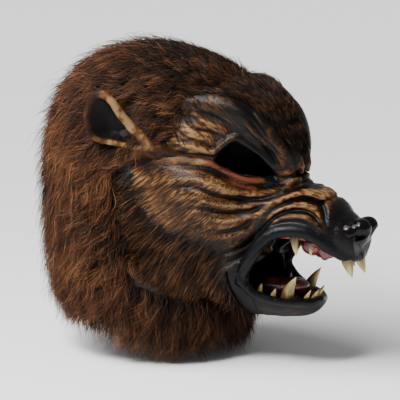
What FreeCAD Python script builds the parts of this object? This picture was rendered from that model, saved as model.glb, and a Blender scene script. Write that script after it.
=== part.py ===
"""Over-the-head wolf mask: cast latex face, hinging latex jaw, resin teeth and a faux fur hood.

Millimetres. The origin is the middle of the wearer's head cavity, +Z is up and the muzzle points along -Y,
so +X is the wearer's left. Distances named "forward" are measured along -Y.
"""
import FreeCAD, Part
import math
import os

from FreeCAD import Placement, Rotation, Vector

doc = FreeCAD.newDocument("wolf_mask")
sheet = doc.addObject("Spreadsheet::Sheet", "Dimensions")

X_AXIS, Y_AXIS, Z_AXIS = Vector(1, 0, 0), Vector(0, 1, 0), Vector(0, 0, 1)
ORIGIN = Vector(0, 0, 0)
SPAN = 600.0  # longer than the mask in every direction, for the blocks that trim it
SIDES = (("right", -1), ("left", 1))
OVAL_POINTS = 16
LOFT_DEGREE = 3

SIZES = {
    "skin": 3,
    # the cranium under the fur
    "cranium_width": 88,
    "cranium_length": 108,
    "cranium_height": 112,
    "cranium_back": 5,
    "cranium_up": 10,
    # where the latex stops under the fur, and the sloping neck hem
    "latex_bottom": -110,
    "hem_back": -142,
    "hem_pivot": 100,
    "hem_slope": 11.5,
    "hem_band": 12,
    # eye holes, cut straight through along Y
    "eye_out": 42,
    "eye_up": 30,
    "eye_width": 17,
    "eye_height": 10,
    "eye_cut_start": 60,
    "eye_cut_length": 100,
    "eye_tilt": 20,
    # ears
    "ear_out": 101,
    "ear_back": 3,
    "ear_up": 76,
    "ear_thick": 17,
    "ear_wide": 25,
    "ear_long": 42,
    "ear_lift": 6,
    "ear_splay": 26,
    "ear_sweep": 33,
    # nose pad
    "nose_forward": 226,
    "nose_up": -35,
    "nose_width": 21,
    "nose_length": 20,
    "nose_height": 17,
    "nostril": 4.5,
    "nostril_out": 11,
    "nostril_toe_out": 25,
    "nostril_depth": 22,
    # gums and palate
    "gum_wall": 11,
    "recess_half_width": 19,
    "gum_top": -40,
    "gum_bottom": -54,
    "gum_back": 118,
    "gum_front": 213,
    "lower_gum_top": -104,
    "lower_gum_bottom": -124,
    # jaw
    "jaw_back": 97,
    "jaw_clearance": 88,
    "jaw_mouth_half": 41,
    "jaw_mouth_depth": 20,
    "jaw_mouth_bottom": -133,
    # soft fittings inside
    "pad_width": 42,
    "pad_back": 69,
    "pad_bottom": 50,
    "pad_top": 84,
    "foam_back": 152,
    "foam_bottom": -40,
    "strap_bottom": 2,
    "strap_top": 28,
    "chin_front": 114,
    "chin_top": -112,
    "chin_radius": 26,
    # lines where the fur panels are sewn together
    "crown_seam": 62,
    "ruff_seam": -75,
    "nape_seam": 62,
    "throat_seam": 46,
    "throat_back": 30,
}

# Upright ovals across the face, from temple to muzzle tip: forward, middle height, half width, half height.
FACE_STATIONS = {
    "temple": (20, 2, 84, 112),
    "cheek": (75, -8, 80, 106),
    "orbit": (110, -14, 66, 92),
    "brow": (136, -18, 51, 82),
    "bridge": (152, -24, 44, 64),
    "snout": (170, -32, 39, 44),
    "muzzle": (200, -44, 33, 29),
    "tip": (224, -46, 26, 23),
}
# Upright ovals along the lower jaw, in the same order.
JAW_STATIONS = {
    "hinge": (97, -99, 44, 37),
    "molar": (114, -101, 44, 38),
    "middle": (138, -103, 40, 36),
    "canine": (160, -104, 32, 29),
    "chin": (176, -106, 19, 17),
}
# Upright ovals along the tongue, in the same order.
TONGUE_STATIONS = {
    "root": (99, -107, 18, 7),
    "body": (126, -105, 17, 8),
    "blade": (148, -103, 13, 7),
    "end": (160, -102, 7, 4),
}
# Flat ovals down the neck: height, how far back the middle is, half width, half length.
NECK_STATIONS = {
    "skull": (0, 5, 78, 96),
    "nape": (-60, 8, 80, 94),
    "collar": (-120, 18, 82, 88),
    "hem": (-205, 26, 84, 80),
}
# Flat ovals down the outside of the fur, measured the same way.
FUR_STATIONS = {
    "summit": (141, 5, 14, 17),
    "dome": (130, 5, 50, 61),
    "crown": (104, 5, 82, 99),
    "forehead": (62, 6, 103, 124),
    "ears": (14, 6, 112, 133),
    "jowl": (-40, 8, 118, 135),
    "ruff": (-90, 10, 127, 134),
    "shoulder": (-140, 12, 127, 128),
    "fringe": (-205, 14, 120, 120),
}
# Side outlines as (forward, height).
LIP_LINE = ((236, -64), (212, -64), (190, -50), (166, -38), (146, -42), (127, -60), (113, -77), (104, -86))
FUR_FRONT = ((128, 66), (78, 86), (44, 64), (30, 20), (30, -30), (46, -70), (74, -90), (86, -100))
JAW_RIM = ((98, -91), (112, -94), (138, -104), (166, -101), (182, -98))

# Teeth, one side: out from the middle, forward, height of the root, length, root radius, lean out, lean forward.
UPPER_CANINE = (13, 208, -53, 31, 4.8, 2, 12)
UPPER_INCISOR = (5, 210, -53, 23, 2.8, 0, 9)
UPPER_PREMOLARS = ((31, 163, -49, 14, 4.2, 3, -1), (28, 180, -50, 14, 3.4, 3, -1))
LOWER_CANINE = (23, 155, -109, 24, 6.2, 3, 6)
LOWER_INCISORS = ((4.5, 171, -109, 15, 2.4, 1, 4), (12.5, 168, -109, 15, 2.4, 3, 4))
LOWER_PREMOLARS = ((34, 120, -108, 14, 3.8, 1, 0), (31, 139, -108, 15, 4.2, 2, 0))


def fill_sheet():
    """Writes every driving dimension into the spreadsheet with its alias."""
    rows = dict(SIZES)
    for table, parts in (
        (FACE_STATIONS, ("forward", "middle", "width", "height")),
        (JAW_STATIONS, ("jaw_forward", "jaw_middle", "jaw_width", "jaw_height")),
        (TONGUE_STATIONS, ("tongue_forward", "tongue_middle", "tongue_width", "tongue_height")),
        (NECK_STATIONS, ("neck_up", "neck_back", "neck_width", "neck_length")),
        (FUR_STATIONS, ("fur_up", "fur_back", "fur_width", "fur_length")),
    ):
        for station, values in table.items():
            for part, value in zip(parts, values):
                rows[f"{station}_{part}"] = value
    for row, (alias, value) in enumerate(rows.items(), start=1):
        sheet.set(f"A{row}", alias)
        sheet.set(f"B{row}", str(value))
        sheet.setAlias(f"B{row}", alias)
    doc.recompute()


def size(alias):
    return float(sheet.get(alias))


def bind(thing, **sizes):
    """Ties properties of a document object to expressions in the sheet's aliases."""
    for name, words in sizes.items():
        thing.setExpression(name, words)
    return thing


def place(thing, x=0.0, forward=0.0, up=0.0, rotation=None):
    thing.Placement = Placement(Vector(x, -forward, up), rotation or Rotation())
    return thing


def feature(name, shape):
    thing = doc.addObject("Part::Feature", name)
    thing.Shape = shape
    return thing


def cut(name, base, tool):
    thing = doc.addObject("Part::Cut", name)
    thing.Base, thing.Tool = base, tool
    return thing


def cut_each(name, base, tools):
    """Cuts the tools away one after the other, which is sounder than cutting their union."""
    for n, tool in enumerate(tools):
        base = cut(f"{name}_{n}", base, tool)
    return base


def mirrored(name, thing):
    """The same thing on the other side of the mask."""
    twin = doc.addObject("Part::Mirroring", name)
    twin.Source, twin.Base, twin.Normal = thing, ORIGIN, X_AXIS
    return twin


def fuse(name, *things):
    thing = doc.addObject("Part::MultiFuse", name)
    thing.Shapes = list(things)
    return thing


def common(name, *things):
    thing = doc.addObject("Part::MultiCommon", name)
    thing.Shapes = list(things)
    return thing


def block(name, x, y, z):
    """A box from (low, high) pairs along X, Y and Z."""
    box = doc.addObject("Part::Box", name)
    box.Length, box.Width, box.Height = (high - low for low, high in (x, y, z))
    box.Placement = Placement(Vector(x[0], y[0], z[0]), Rotation())
    return box


def oval(middle, half_width, half_depth, upright):
    """A smooth closed oval wire that starts on its +X side. An upright one stands across the Y axis."""
    turns = [2 * math.pi * n / OVAL_POINTS for n in range(OVAL_POINTS)]
    curve = Part.BSplineCurve()
    curve.interpolate([Vector(half_width * math.cos(a), half_depth * math.sin(a), 0) for a in turns], True)
    wire = Part.Wire([curve.toShape()])
    if upright:
        wire.rotate(ORIGIN, X_AXIS, 90)
    wire.translate(middle)
    return wire


def loft(name, wires):
    return feature(name, Part.makeLoft(wires, True, False, False, LOFT_DEGREE))


def upright_loft(name, stations, prefix, shrink=0.0, end_shrink=0.0):
    """A smooth solid through a table of upright ovals, each smaller by shrink all round."""
    wires = []
    for station in stations:
        forward, middle, width, height = (
            size(f"{station}_{prefix}{part}") for part in ("forward", "middle", "width", "height")
        )
        if station == list(stations)[-1]:
            forward -= end_shrink
        wires.append(oval(Vector(0, -forward, middle), width - shrink, height - shrink, True))
    return loft(name, wires)


def flat_loft(name, stations, prefix, grow=0.0):
    """A smooth solid through a table of flat ovals, each larger by grow all round."""
    wires = []
    for station in stations:
        up, back, width, length = (
            size(f"{station}_{prefix}{part}") for part in ("up", "back", "width", "length")
        )
        wires.append(oval(Vector(0, back, up), width + grow, length + grow, False))
    return loft(name, wires)


def cranium(name, grow):
    ball = doc.addObject("Part::Ellipsoid", name)
    bind(
        ball,
        Radius1=f"Dimensions.cranium_height + {grow}",
        Radius2=f"Dimensions.cranium_width + {grow}",
        Radius3=f"Dimensions.cranium_length + {grow}",
    )
    return place(ball, forward=-size("cranium_back"), up=size("cranium_up"))


def side_prism(name, outline, smooth=0):
    """A solid right across the mask from a side outline of (forward, height) points.

    The first smooth points are joined by one curve, and the rest by straight lines."""
    points = [Vector(-SPAN / 2, -forward, up) for forward, up in outline]
    edges = []
    if smooth:
        curve = Part.BSplineCurve()
        curve.interpolate(points[:smooth])
        edges.append(curve.toShape())
        points = points[smooth - 1:]
        last = [*points[1:], Vector(-SPAN / 2, -outline[0][0], outline[0][1])]
    else:
        last = [*points[1:], points[0]]
    edges += [Part.makeLine(a, b) for a, b in zip(points, last)]
    return feature(name, Part.Face(Part.Wire(edges)).extrude(Vector(SPAN, 0, 0)))


def hem_block(name, lift=0.0):
    """Everything below the sloping neck hem, which is lower at the throat than at the nape."""
    below = doc.addObject("Part::Box", name)
    below.Length = below.Width = below.Height = SPAN
    turn = Rotation(X_AXIS, size("hem_slope"))
    corner = turn.multVec(Vector(-SPAN / 2, -SPAN / 2, -SPAN))
    nape = Vector(0, size("hem_pivot"), size("hem_back") + lift)
    below.Placement = Placement(nape + corner, turn)
    return below


def head_and_face(name, grow=0.0):
    """The cranium, neck and muzzle as one body: the latex's outside, or its inside if grow is minus the skin.

    Each function that cuts with it makes its own, because sharing one between many cuts spoils its faces."""
    tip_gap = -grow
    return fuse(
        name,
        cranium(name + "_cranium", str(grow)),
        flat_loft(name + "_neck", NECK_STATIONS, "neck_", grow),
        upright_loft(name + "_muzzle", FACE_STATIONS, "", -grow, tip_gap),
    )


def latex_face(outside, inside):
    """The cast face: brow, cheeks and upper muzzle, open at the eyes, the mouth and behind."""
    shell = cut("face_shell", outside, inside)
    front = common(
        "face_front",
        shell,
        block("front_half", (-SPAN / 2, SPAN / 2), (-SPAN, 0), (size("latex_bottom"), SPAN)),
    )
    below = [(size("jaw_clearance"), -88), (size("jaw_clearance"), -SPAN), (SPAN, -SPAN), (SPAN, -64)]
    mouth = side_prism("mouth_cutter", [*LIP_LINE, *below], smooth=len(LIP_LINE))
    holes = []
    for side, sign in SIDES:
        hole = doc.addObject("Part::Ellipse", f"{side}_eye_outline")
        bind(hole, MajorRadius="Dimensions.eye_width", MinorRadius="Dimensions.eye_height")
        tilt = Rotation(X_AXIS, 90).multiply(Rotation(Z_AXIS, sign * size("eye_tilt")))
        place(hole, sign * size("eye_out"), size("eye_cut_start"), size("eye_up"), tilt)
        cutter = doc.addObject("Part::Extrusion", f"{side}_eye_cutter")
        cutter.Base, cutter.Dir, cutter.Solid = hole, Vector(0, -size("eye_cut_length"), 0), True
        holes.append(cutter)
    cut("face_skin", front, fuse("face_openings", mouth, *holes))


def ears():
    """A cupped ear on each side: an oval shell that opens outwards and forwards. Gives what each takes up."""
    turn = Rotation(Y_AXIS, size("ear_splay")).multiply(Rotation(X_AXIS, -size("ear_sweep")))
    middle = Vector(size("ear_out"), size("ear_back"), size("ear_up"))
    open_way = Vector(1.0, -0.8, 0.25) * size("ear_lift")
    bodies = []
    for name, wall, shift in (("outer", "0", ORIGIN), ("hollow", "Dimensions.skin", open_way)):
        ball = doc.addObject("Part::Ellipsoid", f"ear_{name}")
        bind(
            ball,
            Radius1=f"Dimensions.ear_long - {wall}",
            Radius2=f"Dimensions.ear_thick - {wall}",
            Radius3=f"Dimensions.ear_wide - {wall}",
        )
        ball.Placement = Placement(middle + shift, turn)
        bodies.append(ball)
    plug = cut("left_ear_plug", bodies[0], head_and_face("behind_ear"))
    cup = cut("left_ear", plug, bodies[1])
    mirrored("right_ear", cup)
    return mirrored("right_ear_plug", plug), plug


def fur_panels(ear_plugs):
    """The hood's sewn panels: one shell as deep as the pile around the head, cut along its seams."""
    wrap = flat_loft("fur_wrap", FUR_STATIONS, "fur_")
    behind = [(size("jaw_clearance") - 2, -SPAN), (-SPAN, -SPAN), (-SPAN, SPAN), (FUR_FRONT[0][0], SPAN)]
    region = side_prism("fur_region", [*FUR_FRONT, *behind], smooth=len(FUR_FRONT))
    shell = common("fur_zone", wrap, region)
    shell = cut_each("fur_trimmed", shell, (head_and_face("under_fur"), hem_block("hem")))
    crown, ruff, nape = size("crown_seam"), size("ruff_seam"), size("nape_seam")
    throat, throat_back = size("throat_seam"), size("throat_back")
    wide = (-SPAN, SPAN)
    zones = {
        "throat_fur": [((-throat, throat), (-SPAN, -throat_back), (-SPAN, ruff))],
        "right_ruff_fur": [
            ((-SPAN, 0), (-throat_back, SPAN), (-SPAN, ruff)),
            ((-SPAN, -throat), (-SPAN, -throat_back), (-SPAN, ruff)),
        ],
        "right_side_fur": [((-SPAN, 0), (-SPAN, nape), (ruff, crown))],
        "nape_fur": [(wide, (nape, SPAN), (ruff, crown))],
        "crown_fur": [(wide, wide, (crown, SPAN))],
    }
    pierced = {"right_side_fur": ear_plugs[:1], "crown_fur": ear_plugs}
    for name, boxes in zones.items():
        blocks = [block(f"{name}_zone_{n}", *box) for n, box in enumerate(boxes)]
        zone = blocks[0] if len(blocks) == 1 else fuse(f"{name}_zone", *blocks)
        panel = cut_each(f"{name}_round_ear", common(f"{name}_whole", shell, zone), pierced.get(name, ()))
        named(name, panel)
        if name.startswith("right"):
            mirrored(name.replace("right", "left"), panel)


def nose():
    """The glossy nose pad with two blind nostrils."""
    pad = doc.addObject("Part::Ellipsoid", "nose_ball")
    bind(pad, Radius1="Dimensions.nose_height", Radius2="Dimensions.nose_width", Radius3="Dimensions.nose_length")
    place(pad, forward=size("nose_forward"), up=size("nose_up"))
    holes = []
    for side, sign in SIDES:
        hole = doc.addObject("Part::Cylinder", f"{side}_nostril")
        bind(hole, Radius="Dimensions.nostril")
        hole.Height = size("nostril_depth")
        turn = Rotation(X_AXIS, 90).multiply(Rotation(Y_AXIS, sign * size("nostril_toe_out")))
        start = size("nose_forward") + size("nose_length") - size("nostril_depth") / 2
        place(hole, sign * size("nostril_out"), start, size("nose_up") - 2, turn)
        holes.append(hole)
    cut("nose_pad", pad, fuse("nose_removed", head_and_face("behind_nose"), *holes))


def dental_arch(name, cavity, back, front, bottom, top, recess_low, recess_high):
    """A gum that fills the cavity between two heights, with an arched recess between its ridges."""
    slab = block(name + "_slab", (-SPAN / 2, SPAN / 2), (-front, -back), (bottom, top))
    recess = doc.addObject("Part::Ellipse", name + "_recess_outline")
    recess.MajorRadius = front - size("gum_wall") - back
    recess.MinorRadius = size("recess_half_width")
    place(recess, forward=back, up=recess_low, rotation=Rotation(Z_AXIS, 90))
    cutter = doc.addObject("Part::Extrusion", name + "_recess")
    cutter.Base, cutter.Dir, cutter.Solid = recess, Vector(0, 0, recess_high - recess_low), True
    return cut(name + "_blank", common(name + "_fill", cavity, slab), cutter)


def tooth(name, sign, out, forward, root, length, radius, lean_out, lean_forward, up):
    """A curved tooth through shrinking circles, rooted at a height and growing up or down."""
    rings = []
    for n, (along, share) in enumerate(((-0.12, 0.9), (0.15, 1.0), (0.6, 0.66), (1.0, 0.14))):
        ring = doc.addObject("Part::Circle", f"{name}_ring_{n}")
        ring.Radius = radius * share
        bend = max(0.0, along) ** 2
        place(ring, sign * (out + lean_out * bend), forward + lean_forward * bend, root + up * length * along)
        rings.append(ring)
    loft = doc.addObject("Part::Loft", name)
    loft.Sections, loft.Solid = rings, True
    return loft


def tooth_row(name, specs, up, signs):
    """Teeth that share one node."""
    made = [
        tooth(f"{name}_{n}_{'left' if sign > 0 else 'right'}", sign, *spec, up)
        for n, spec in enumerate(specs)
        for sign in signs
    ]
    return made[0] if len(made) == 1 else fuse(name + "_group", *made)


def named(name, thing):
    """Gives a finished object the node's own name as its label."""
    thing.Label = name
    return thing


def upper_mouth(inside):
    blank = dental_arch(
        "upper_gum", inside, size("gum_back"), size("gum_front"),
        size("gum_bottom"), size("gum_top"), size("gum_bottom"), size("gum_top") - 5,
    )
    teeth = [named("upper_incisors", tooth_row("upper_incisors", [UPPER_INCISOR], -1, (-1, 1)))]
    for side, sign in SIDES:
        teeth.append(named(f"upper_{side}_canine", tooth_row(f"upper_{side}_canine", [UPPER_CANINE], -1, (sign,))))
        teeth.append(
            named(f"upper_{side}_premolars", tooth_row(f"upper_{side}_premolars", UPPER_PREMOLARS, -1, (sign,)))
        )
    named("upper_gum", cut_each("upper_gum_socketed", blank, teeth))


def lower_jaw():
    outer = upright_loft("jaw_outer", JAW_STATIONS, "jaw_")
    inner = upright_loft("jaw_inner", JAW_STATIONS, "jaw_", size("skin"), size("skin"))
    above = side_prism("above_jaw_rim", [*JAW_RIM, (SPAN, SPAN), (60, SPAN), (60, JAW_RIM[0][1])], smooth=len(JAW_RIM))
    # the trough is open behind, where the wearer's chin comes in
    half, back = size("jaw_mouth_half"), -size("jaw_back")
    opening = block(
        "jaw_open_back", (-half, half), (back - 1, back + size("jaw_mouth_depth")), (size("jaw_mouth_bottom"), -60)
    )
    cavity = fuse("jaw_hollow", inner, opening)
    shell = cut("jaw_shell", cut("jaw_wall", outer, cavity), above)
    blank = dental_arch(
        "lower_gum", inner, size("chin_front") + 0.5, size("canine_jaw_forward") + 13,
        size("lower_gum_bottom"), size("lower_gum_top"), size("lower_gum_bottom") + 6, size("lower_gum_top") + 1,
    )
    teeth = [named("lower_incisors", tooth_row("lower_incisors", LOWER_INCISORS, 1, (-1, 1)))]
    for side, sign in SIDES:
        teeth.append(named(f"lower_{side}_canine", tooth_row(f"lower_{side}_canine", [LOWER_CANINE], 1, (sign,))))
        teeth.append(
            named(f"lower_{side}_premolars", tooth_row(f"lower_{side}_premolars", LOWER_PREMOLARS, 1, (sign,)))
        )
    gum = cut("lower_gum_trimmed", blank, above)
    named("lower_gum", cut_each("lower_gum_socketed", gum, teeth))
    named("jaw_skin", cut_each("jaw_round_tooth", shell, teeth))
    chin_box = block(
        "chin_box", (-SPAN / 2, SPAN / 2), (-size("chin_front"), -size("jaw_back")), (-SPAN, size("chin_top"))
    )
    chin_ball = doc.addObject("Part::Sphere", "wearer_chin")
    bind(chin_ball, Radius="Dimensions.chin_radius")
    place(chin_ball, forward=size("jaw_back") - 14, up=size("chin_top") + 4)
    chin = common("chin_blank", inner, chin_box)
    named("chin_cup", cut("chin_hollowed", chin, chin_ball))
    above_gum = cut("tongue_on_gum", upright_loft("tongue_blank", TONGUE_STATIONS, "tongue_"), gum)
    named("tongue", cut_each("tongue_trimmed", above_gum, (chin, teeth[0])))


def soft_fittings(inside):
    """Foam inside the brow and snout, the elastic behind the head and the neck's bound hem."""
    pad_box = block(
        "pad_box",
        (-size("pad_width"), size("pad_width")),
        (-size("brow_forward"), -size("pad_back")),
        (size("pad_bottom"), size("pad_top")),
    )
    named("brow_pad", common("brow_pad_fill", inside, pad_box))
    foam_box = block(
        "foam_box", (-SPAN / 2, SPAN / 2), (-size("tip_forward"), -size("foam_back")), (size("foam_bottom"), SPAN)
    )
    named("snout_foam", common("snout_fill", inside, foam_box))


def back_layer(outside, inside):
    """What lies in the skin's own layer where there is no latex: the elastic and the hem binding."""
    layer = cut("layer_shell", outside, inside)
    strap_zone = block(
        "strap_zone", (-SPAN / 2, SPAN / 2), (0, SPAN), (size("strap_bottom"), size("strap_top"))
    )
    named("head_strap", common("strap_band", layer, strap_zone))
    above_hem = cut(
        "above_hem",
        block("neck_zone", (-SPAN / 2, SPAN / 2), (-SPAN / 2, SPAN / 2), (-SPAN / 2, size("latex_bottom"))),
        hem_block("hem_low"),
    )
    named("neck_hem", common("hem_band_ring", layer, above_hem, hem_block("hem_high", size("hem_band"))))


NODES = [
    "face_skin", "jaw_skin", "nose_pad", "right_ear", "left_ear",
    "upper_gum", "upper_incisors", "upper_right_canine", "upper_left_canine",
    "upper_right_premolars", "upper_left_premolars",
    "lower_gum", "tongue", "lower_incisors", "lower_right_canine", "lower_left_canine",
    "lower_right_premolars", "lower_left_premolars",
    "crown_fur", "nape_fur", "right_side_fur", "left_side_fur", "right_ruff_fur", "left_ruff_fur", "throat_fur",
    "brow_pad", "snout_foam", "chin_cup", "head_strap", "neck_hem",
]


def export():
    """Checks every object and writes one STEP file for each node."""
    doc.recompute()
    for thing in doc.Objects:
        if {"Invalid", "Error"} & set(thing.State):
            raise RuntimeError(f"{thing.Name} failed to build: {thing.State}")
    os.makedirs("parts", exist_ok=True)
    for node in NODES:
        shape = doc.getObjectsByLabel(node)[0].Shape
        solids = Part.makeCompound(shape.Solids)
        if shape.isNull() or not shape.Solids or not solids.isValid():
            raise RuntimeError(f"{node} is not a sound solid")
        solids.exportStep(f"parts/{node}.step")
        print(f"{node}: {len(shape.Solids)} solid(s), {shape.Volume / 1000:.1f} cm3")


def main():
    fill_sheet()
    outside = head_and_face("outside")
    inside = head_and_face("inside", -size("skin"))
    latex_face(outside, inside)
    upper_mouth(inside)
    lower_jaw()
    soft_fittings(inside)
    back_layer(outside, inside)
    nose()
    fur_panels(ears())
    export()


main()
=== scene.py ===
"""An over-the-head wolf mask in painted latex, resin and faux fur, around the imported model.

Sculpting is in millimetres as (x, f, u): across, forward along the muzzle (-Y) and up. Blender gets metres.
"""

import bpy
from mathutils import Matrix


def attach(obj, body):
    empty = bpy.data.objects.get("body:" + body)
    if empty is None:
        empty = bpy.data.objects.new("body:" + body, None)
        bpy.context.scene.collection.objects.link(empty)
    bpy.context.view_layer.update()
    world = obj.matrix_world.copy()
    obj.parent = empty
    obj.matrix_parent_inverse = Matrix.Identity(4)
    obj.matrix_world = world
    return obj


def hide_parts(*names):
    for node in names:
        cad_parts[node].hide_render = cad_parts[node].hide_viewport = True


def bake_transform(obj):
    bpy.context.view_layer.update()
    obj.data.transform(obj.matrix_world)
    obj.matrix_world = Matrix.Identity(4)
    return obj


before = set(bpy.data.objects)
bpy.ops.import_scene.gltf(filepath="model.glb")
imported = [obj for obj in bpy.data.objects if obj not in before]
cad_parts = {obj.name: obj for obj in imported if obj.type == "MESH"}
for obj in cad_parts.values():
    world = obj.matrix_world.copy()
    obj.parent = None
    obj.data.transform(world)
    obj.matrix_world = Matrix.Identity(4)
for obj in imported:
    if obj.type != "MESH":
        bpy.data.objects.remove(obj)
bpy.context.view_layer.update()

import copy
import math

import bpy
import numpy as np
import openvdb
from mathutils import Vector

MM = 0.001
FAR = 40.0  # millimetres: the most that a block of clay knows of its distance
SKIN = 3.2  # thickness of the cast latex
CLEARANCE = 0.5  # between the latex and what lies inside it
INSIDE = -2.2  # from this depth on the latex is its inner side, which is painted near black as shade
rng = np.random.default_rng(31)


# ---------------------------------------------------------------- sculpting tools

def smooth_step(low, high, value):
    """0 up to low, 1 from high on, and an S-shaped curve between. Low may be the larger one."""
    share = np.clip((value - low) / (high - low), 0, 1)
    return share * share * (3 - 2 * share)


def melt(a, b, width):
    """The union of two distances, with a fillet of about the given width."""
    share = np.clip(0.5 + 0.5 * (b - a) / width, 0, 1)
    return b + (a - b) * share - width * share * (1 - share)


def ball(x, f, u, middle, radii):
    """Distance to an ellipsoid, close to true near its surface."""
    p = [(v - m) for v, m in zip((x, f, u), middle)]
    near = np.sqrt(sum((v / r) ** 2 for v, r in zip(p, radii)))
    slope = np.sqrt(sum((v / r**2) ** 2 for v, r in zip(p, radii)))
    return near * (near - 1) / np.maximum(slope, 1e-6)


def curve_through(points, steps=6):
    """Points along a smooth curve through the given ones. Any number of columns."""
    points = np.array(points, float)
    ends = np.vstack([2 * points[0] - points[1], points, 2 * points[-1] - points[-2]])
    found = []
    for a, b, c, d in zip(ends, ends[1:], ends[2:], ends[3:]):
        for t in np.arange(steps) / steps:
            bend = (2 * a - 5 * b + 4 * c - d) * t**2 + (3 * b - a - 3 * c + d) * t**3
            found.append(0.5 * (2 * b + (c - a) * t + bend))
    return np.vstack([found, points[-1]])


def rope(x, f, u, points, steps=5):
    """Distance to a tube along a curve. Each point is (x, f, u, radius)."""
    line = curve_through(points, steps)
    nearest = None
    for a, b in zip(line, line[1:]):
        along = b[:3] - a[:3]
        share = ((x - a[0]) * along[0] + (f - a[1]) * along[1] + (u - a[2]) * along[2]) / (along @ along)
        share = np.clip(share, 0, 1)
        gap = np.sqrt(
            (x - a[0] - share * along[0]) ** 2
            + (f - a[1] - share * along[1]) ** 2
            + (u - a[2] - share * along[2]) ** 2
        )
        gap = gap - (a[3] + share * (b[3] - a[3]))
        nearest = gap if nearest is None else np.minimum(nearest, gap)
    return nearest


def strokes(f, u, lines, steps=8):
    """Relief drawn on the side of the face. A line is points of (f, u), half width and height."""
    total = np.zeros(np.broadcast(f, u).shape, np.float32)
    for points, width, height in lines:
        line = curve_through(points, steps)
        best = np.full(total.shape, 1e9, np.float32)
        where = np.zeros(total.shape, np.float32)
        for n, (a, b) in enumerate(zip(line, line[1:])):
            along = b - a
            share = np.clip(((f - a[0]) * along[0] + (u - a[1]) * along[1]) / (along @ along), 0, 1)
            gap = (f - a[0] - share * along[0]) ** 2 + (u - a[1] - share * along[1]) ** 2
            where = np.where(gap < best, (n + share) / (len(line) - 1), where)
            best = np.minimum(best, gap)
        fade = np.sqrt(np.clip(np.sin(np.pi * np.clip(where, 0.02, 0.98)), 0, 1))
        total += height * fade * np.exp(-best / width**2)
    return total


class Clay:
    """A block of distances on a grid over x >= 0, which stands for both sides of the mask."""

    def __init__(self, low, high, voxel):
        self.low, self.voxel = np.array(low, float), voxel
        axes = [np.arange(a, b + voxel, voxel, dtype=np.float32) for a, b in zip(low, high)]
        self.axes = axes
        self.d = np.full([len(a) for a in axes], FAR, np.float32)

    def copy(self, distances):
        """Another block on the same grid."""
        twin = copy.copy(self)
        twin.d = distances.astype(np.float32)
        return twin

    def window(self, low, high):
        """The part of the grid between two corners, as slices and as x, f and u that broadcast."""
        spans = []
        for axis, a, b in zip(self.axes, low, high):
            first = max(0, int(np.searchsorted(axis, a)) - 1)
            last = min(len(axis), int(np.searchsorted(axis, b)) + 1)
            spans.append(slice(first, max(last, first)))
        x, f, u = (axis[s] for axis, s in zip(self.axes, spans))
        return tuple(spans), x[:, None, None], f[None, :, None], u[None, None, :]

    def everywhere(self):
        """The whole grid's x, f and u, which broadcast."""
        x, f, u = self.axes
        return x[:, None, None], f[None, :, None], u[None, None, :]

    def add_ball(self, middle, radii, width):
        pad = width + 4
        spans, x, f, u = self.window([m - r - pad for m, r in zip(middle, radii)],
                                     [m + r + pad for m, r in zip(middle, radii)])
        self.d[spans] = melt(self.d[spans], ball(x, f, u, middle, radii), width)

    def carve_ball(self, middle, radii, width):
        spans, x, f, u = self.window([m - r - width for m, r in zip(middle, radii)],
                                     [m + r + width for m, r in zip(middle, radii)])
        self.d[spans] = -melt(-self.d[spans], ball(x, f, u, middle, radii), width)

    def _rope_window(self, points, pad):
        points = np.array(points, float)
        reach = points[:, 3].max() + pad
        return self.window(points[:, :3].min(0) - reach, points[:, :3].max(0) + reach)

    def add_rope(self, points, width):
        spans, x, f, u = self._rope_window(points, width + 4)
        self.d[spans] = melt(self.d[spans], rope(x, f, u, points), width)

    def carve_rope(self, points, width):
        spans, x, f, u = self._rope_window(points, width)
        self.d[spans] = -melt(-self.d[spans], rope(x, f, u, points), width)

    def sample(self, field, points):
        """Reads a field of this grid's shape at (x, f, u) points, either side of the mask."""
        where = (np.abs(points * [1, 0, 0]) + points * [0, 1, 1] - self.low) / self.voxel
        where = np.clip(where, 0, np.array(field.shape) - 1.001)
        base = where.astype(int)
        share = where - base
        value = 0
        for corner in np.ndindex(2, 2, 2):
            weight = np.prod(np.where(corner, share, 1 - share), axis=1)
            index = base + corner
            value = value + weight * field[index[:, 0], index[:, 1], index[:, 2]]
        return value

    def surface(self, both=True):
        """The quads where the distance is zero, as points in (x, f, u) and faces."""
        block = np.concatenate([self.d[:0:-1], self.d]) if both else self.d
        shift = self.low.copy()
        if both:
            shift[0] = -(len(self.d) - 1) * self.voxel
        grid = openvdb.FloatGrid(FAR)
        grid.copyFromArray(np.ascontiguousarray(block, np.float32))
        points, triangles, quads = grid.convertToPolygons(isovalue=0.0, adaptivity=0.0)
        return points * self.voxel + shift, quads


def neighbours(field, axis):
    """The field one cell each way along an axis. Beyond the middle plane it is the same field mirrored."""
    padded = np.pad(field, [(1, 1) if n == axis else (0, 0) for n in range(3)], mode="reflect")
    before = [slice(None)] * 3
    after = [slice(None)] * 3
    before[axis], after[axis] = slice(0, -2), slice(2, None)
    return padded[tuple(before)], padded[tuple(after)]


def blur(field, times=1):
    """A light blur along every axis."""
    for _ in range(times):
        for axis in range(3):
            before, after = neighbours(field, axis)
            field = (before + 2 * field + after) / 4
    return field


def thinned(field, cells):
    """The distance to what is left of a solid once a skin of that many cells is taken off it."""
    for _ in range(cells):
        for axis in range(3):
            before, after = neighbours(field, axis)
            field = np.maximum(field, np.maximum(before, after))
    return field


def to_blender(points):
    """(x, f, u) millimetres to Blender's metres."""
    return (np.asarray(points) * [1, -1, 1] * MM).astype(np.float32)


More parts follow.
